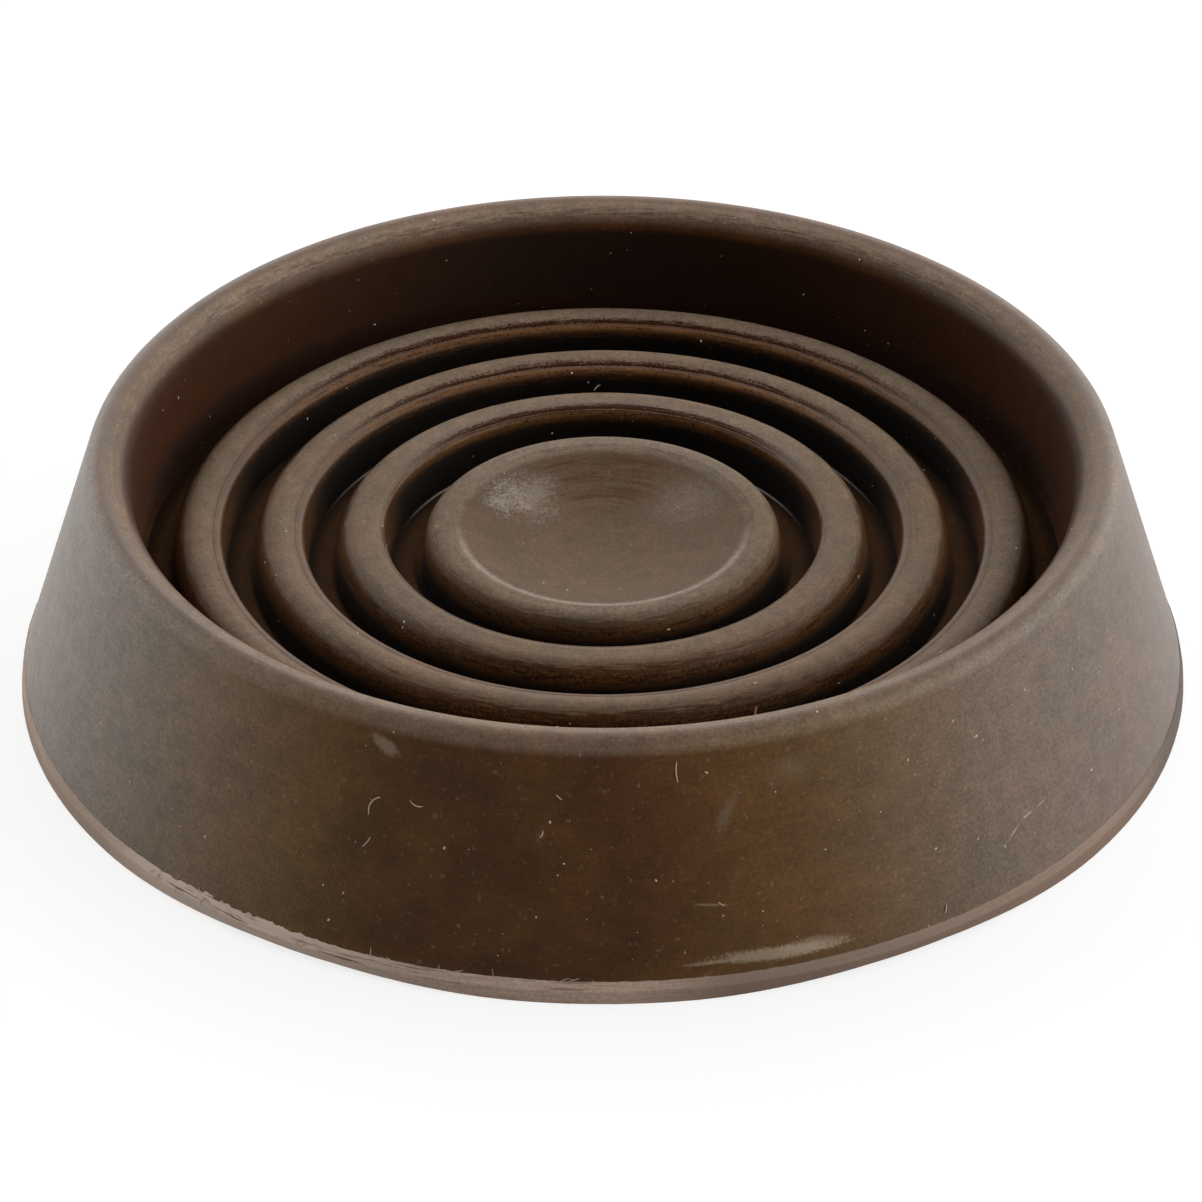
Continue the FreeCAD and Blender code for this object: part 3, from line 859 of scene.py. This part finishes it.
# Dust: specks that lie all over the cup, most of them too small to tell apart
dust = {
    "colour": "#d9cbb9",
    "density": 90000.0,  # specks for each square metre
    "smallest": 0.02,
    "largest": 0.078,
    "rarity": 3.0,  # the higher, the fewer large ones
    "stretch": 1.2,
    "flatness": 0.6,
    "lowest": 0.6,
    "insideShare": 0.55,  # the recess is cleaner
    "seed": 5,
}


def makeScatterTree():
    # small flattened lumps over a mesh, many tiny ones and a few large
    tree, add, given = newTree("scatteredSpecks", {
        "Density": "Float", "Smallest": "Float", "Largest": "Float", "Rarity": "Float", "Stretch": "Float",
        "Flatness": "Float", "Lowest": "Float", "Inside Share": "Float", "Inside Radius": "Float",
        "Seed": "Int"})
    place = add("GeometryNodeInputPosition")
    height = add("ShaderNodeSeparateXYZ", {0: place}).outputs["Z"]
    above = add("ShaderNodeMath", {0: height, 1: given["Lowest"]}, operation="GREATER_THAN")
    level = add("ShaderNodeVectorMath", {0: place, 1: (1, 1, 0)}, operation="MULTIPLY")
    radius = add("ShaderNodeVectorMath", {0: level}, operation="LENGTH").outputs["Value"]
    outside = add("ShaderNodeMath", {0: radius, 1: given["Inside Radius"]}, operation="GREATER_THAN")
    share = add("ShaderNodeMapRange", {"Value": outside, "To Min": given["Inside Share"]})
    density = add("ShaderNodeMath", {0: share, 1: given["Density"]}, operation="MULTIPLY")
    spread = add("GeometryNodeDistributePointsOnFaces", {
        "Mesh": given["Geometry"], "Selection": above, "Density": density, "Seed": given["Seed"]})
    draws = []  # for size, length and spin
    for offset in range(3):
        seed = add("FunctionNodeIntegerMath", {0: given["Seed"], 1: offset + 1}, operation="ADD")
        draws.append(add("FunctionNodeRandomValue", {"Seed": seed}, data_type="FLOAT"))
    rare = add("ShaderNodeMath", {0: draws[0], 1: given["Rarity"]}, operation="POWER")
    size = add("ShaderNodeMapRange", {"Value": rare, "To Min": given["Smallest"], "To Max": given["Largest"]})
    longer = add("ShaderNodeMath", {0: draws[1], 1: given["Stretch"], 2: 1.0}, operation="MULTIPLY_ADD")
    length = add("ShaderNodeMath", {0: size, 1: longer}, operation="MULTIPLY")
    thick = add("ShaderNodeMath", {0: size, 1: given["Flatness"]}, operation="MULTIPLY")
    scale = add("ShaderNodeCombineXYZ", {"X": length, "Y": size, "Z": thick})
    spin = add("ShaderNodeMath", {0: draws[2], 1: 2 * math.pi}, operation="MULTIPLY")
    spun = add("ShaderNodeCombineXYZ", {"Z": spin})
    heading = add("FunctionNodeRotateRotation", {
        "Rotation": spread.outputs["Rotation"], "Rotate By": spun}, rotation_space="LOCAL")
    lump = add("GeometryNodeMeshIcoSphere", {"Radius": 1.0, "Subdivisions": 1})
    lumps = add("GeometryNodeInstanceOnPoints", {
        "Points": spread.outputs["Points"], "Instance": lump, "Rotation": heading, "Scale": scale})
    closeTree(add, given, lumps)
    return tree


dustPiece = newPiece("dustSpecks", cupPiece.data.copy())
applyTree(dustPiece, makeScatterTree(), {
    "Density": dust["density"], "Smallest": dust["smallest"] * mm, "Largest": dust["largest"] * mm,
    "Rarity": dust["rarity"], "Stretch": dust["stretch"], "Flatness": dust["flatness"],
    "Lowest": dust["lowest"] * mm, "Inside Share": dust["insideShare"], "Inside Radius": cup["wallTop"] * mm,
    "Seed": dust["seed"], "Material": makePale("dust", dust["colour"])})
settle(dustPiece)

# Lint: short curled fibres on the flared side, each with its turn, height, heading from level,
# bend along its length, length and thickness
lint = {
    "colour": "#c6b298",
    "steps": 12,
    "sides": 6,
    "taper": 0.4,  # the higher, the longer the thin ends
    "liftOff": 0.04,  # from the flared side
    "bandInset": 0.09,  # from the band's outer edge in to its torn face
    "fibres": (
        (-23.8, 11.75, -160.0, 95.0, 1.6, 0.048),
        (-20.5, 11.98, -50.0, 80.0, 1.0, 0.048),
        (7.9, 15.5, -100.0, 25.0, 1.35, 0.05),
        (35.4, 2.1, 60.0, 20.0, 0.55, 0.06),
        (-24.4, 9.1, -110.0, -30.0, 0.9, 0.036),
        (-6.5, 10.7, 40.0, 60.0, 0.5, 0.042),
        (-4.9, 13.5, -50.0, 20.0, 0.5, 0.04),
        (11.6, 6.3, -50.0, 30.0, 0.5, 0.036),
    ),
    # a pale and a red fibre caught on a ridge: turn, radius, height, lean to the right, rise, thickness
    "caught": (-178.2, 16.75, 11.7, 0.35, 0.45, 0.045),
    "caughtRed": (23.0, 24.8, 11.5, 0.1, 1.1, 0.085),
    "red": "#c97f66",
    # loose ends torn out of the band: how many, and the ranges of their turn, height, length and thickness
    "tornEnds": 46,
    "tornTurn": (-50.0, 2.0),
    "tornHeight": (0.9, 1.75),
    "tornLength": (0.3, 0.9),
    "tornThick": (0.018, 0.04),
    "tornHeadings": (0.0, 180.0, 0.0, 180.0, 70.0),  # mostly along the band, some across it
    "tornSwing": (-30.0, 30.0),
    "tornBend": (-60.0, 60.0),
    "seed": 11,
}


def tornFibres():
    draw = random.Random(lint["seed"])
    fibres = []
    for _ in range(lint["tornEnds"]):
        heading = draw.choice(lint["tornHeadings"]) + draw.uniform(*lint["tornSwing"])
        turn, height, bend, length, thick = [
            draw.uniform(*lint[f"torn{part}"]) for part in ("Turn", "Height", "Bend", "Length", "Thick")]
        fibres.append((turn, height, heading, bend, length, thick))
    return fibres


def fibrePoints(turn, height, heading, bend, length):
    # along the flared side, or along the band below it
    points = []
    step = length / lint["steps"]
    for place in range(lint["steps"] + 1):
        radius = min(coneRadius(height), band["outerRadius"] - lint["bandInset"])
        points.append(turnedPoint(turn, radius + lint["liftOff"], height))
        angle = math.radians(heading + bend * place / lint["steps"])
        turn += math.degrees(step * math.cos(angle) / radius)
        height += step * math.sin(angle)
    return points


def caughtPoints(turn, radius, height, lean, rise):
    x, y, z = turnedPoint(turn, radius, height)
    shares = [place / lint["steps"] for place in range(lint["steps"] + 1)]
    return [(x + lean * share ** 2, y, z + rise * share) for share in shares]


def fibreMesh(name, paths):
    points, edges, widths = [], [], []
    for path, thick in paths:
        first = len(points)
        points += path
        edges += [(i, i + 1) for i in range(first, len(points) - 1)]
        for place in range(lint["steps"] + 1):
            taper = math.sin(math.pi * (place + 1) / (lint["steps"] + 2)) ** lint["taper"]
            widths.append(thick * taper * mm)
    mesh = lineMesh(name, points, edges)
    mesh.attributes.new("thickness", "FLOAT", "POINT").data.foreach_set("value", widths)
    return mesh


def makeFibreTree():
    # a round fibre along each chain, thinner at its ends
    tree, add, given = newTree("fibres", {"Sides": "Int"})
    thickness = add("GeometryNodeInputNamedAttribute", {"Name": "thickness"}, data_type="FLOAT")
    chain = add("GeometryNodeMeshToCurve", {"Mesh": given["Geometry"]})
    ring = add("GeometryNodeCurvePrimitiveCircle", {"Resolution": given["Sides"], "Radius": 1.0})
    tube = add("GeometryNodeCurveToMesh", {
        "Curve": chain, "Profile Curve": ring, "Scale": thickness, "Fill Caps": True})
    closeTree(add, given, tube)
    return tree


fibreTree = makeFibreTree()
palePaths = [(fibrePoints(*path), thick) for *path, thick in (*lint["fibres"], *tornFibres())]
for name, colour, paths, caught in (
        ("lint", "colour", palePaths, "caught"), ("redLint", "red", [], "caughtRed")):
    *path, thick = lint[caught]
    lintPiece = newPiece(name, fibreMesh(name, [*paths, (caughtPoints(*path), thick)]))
    applyTree(lintPiece, fibreTree, {"Sides": lint["sides"], "Material": makePale(name, lint[colour])})
    settle(lintPiece)

# Floor: a wide pale sheet, white to the camera and in reflections, that keeps a faint shadow
stage = {
    "floorReach": 40.0,  # metres
    "floorAlbedo": 0.8,
    "floorGlow": 0.78,
    "floorShade": 0.3,
}


def makeFloor():
    reach = stage["floorReach"]
    corners = [(-reach, -reach, 0), (reach, -reach, 0), (reach, reach, 0), (-reach, reach, 0)]
    mesh = bpy.data.meshes.new("floor")
    mesh.from_pydata(corners, [], [(0, 1, 2, 3)])
    material = bpy.data.materials.new("paleFloor")
    material.use_nodes = True
    material.node_tree.nodes.clear()
    add = partial(addNode, material.node_tree)
    rays = add("ShaderNodeLightPath").outputs
    seen = rays["Is Camera Ray"]
    for kind in ("Is Glossy Ray", "Is Transmission Ray"):
        seen = add("ShaderNodeMath", {0: seen, 1: rays[kind]}, operation="MAXIMUM")
    lit = add("ShaderNodeBsdfDiffuse", {"Color": [stage["floorAlbedo"]] * 3 + [1]})
    shade = add("ShaderNodeBsdfDiffuse", {"Color": [stage["floorShade"]] * 3 + [1]})
    glow = add("ShaderNodeEmission", {"Color": [1, 1, 1, 1], "Strength": stage["floorGlow"]})
    white = add("ShaderNodeAddShader", {0: shade, 1: glow})
    pick = add("ShaderNodeMixShader", {0: seen, 1: lit, 2: white})
    add("ShaderNodeOutputMaterial", {"Surface": pick})
    mesh.materials.append(material)
    return newPiece("floor", mesh)


makeFloor()

# Studio light: a low bright tent round the sides and the back, dim overhead, and a dark side
# left of the camera
tent = {
    "bright": 2.4,
    "dark": 0.06,
    "darkTurn": -20.0,  # from the camera's side, to the left
    "darkFrom": 0.8,  # cosines from the dark direction where the dark ends and the side begins
    "darkTo": 0.0,
    "overhead": 0.06,  # share of the light that is left overhead
    "overheadFrom": 0.6,  # sines of the heights between which it fades
    "overheadTo": 0.88,
    "rightGain": 0.15,
}


def makeTent():
    world = bpy.data.worlds.new("studio")
    bpy.context.scene.world = world
    world.use_nodes = True
    add = partial(addNode, world.node_tree)
    towards = add("ShaderNodeTexCoord").outputs["Generated"]
    darkest = turnedPoint(tent["darkTurn"], 1, 0)
    away = add("ShaderNodeVectorMath", {0: towards, 1: darkest}, operation="DOT_PRODUCT").outputs["Value"]
    level = add("ShaderNodeMapRange", {
        "Value": away, "From Min": tent["darkTo"], "From Max": tent["darkFrom"],
        "To Min": tent["bright"], "To Max": tent["dark"]}, interpolation_type="SMOOTHSTEP")
    parts = add("ShaderNodeSeparateXYZ", {0: towards}).outputs
    fade = add("ShaderNodeMapRange", {
        "Value": parts["Z"], "From Min": tent["overheadFrom"], "From Max": tent["overheadTo"],
        "To Min": 1.0, "To Max": tent["overhead"]}, interpolation_type="SMOOTHSTEP")
    lean = add("ShaderNodeMath", {0: parts["X"], 1: tent["rightGain"], 2: 1.0}, operation="MULTIPLY_ADD")
    faded = add("ShaderNodeMath", {0: level, 1: fade}, operation="MULTIPLY")
    strength = add("ShaderNodeMath", {0: faded, 1: lean}, operation="MULTIPLY")
    setInputs(world.node_tree.nodes["Background"], {"Color": (1, 1, 1, 1), "Strength": strength})


makeTent()
bpy.context.scene.view_settings.view_transform = "Standard"

view = {
    "lens": 460.27,
    "sensor": 36.0,
    "distance": 1000.0,
    "clipEnd": 100.0,  # metres, past the floor's edge
    "elevation": 32.75,
    "middleHeight": 8.5,
    "dropDown": 2.11,  # the object stands above the picture's middle
    "moveLeft": 0.11,
}


def makeCamera():
    camera = bpy.data.cameras.new("camera")
    camera.lens = view["lens"]
    camera.sensor_width = view["sensor"]
    camera.clip_end = view["clipEnd"]
    eye = newPiece("camera", camera)
    tilt = math.radians(view["elevation"])
    forward = Vector((0, math.cos(tilt), -math.sin(tilt)))
    up = Vector((0, math.sin(tilt), math.cos(tilt)))
    middle = Vector((-view["moveLeft"], 0, view["middleHeight"])) - up * view["dropDown"]
    eye.location = (middle - forward * view["distance"]) * mm
    eye.rotation_euler = forward.to_track_quat("-Z", "Y").to_euler()
    bpy.context.scene.camera = eye


makeCamera()
print("stage, light and camera ready")
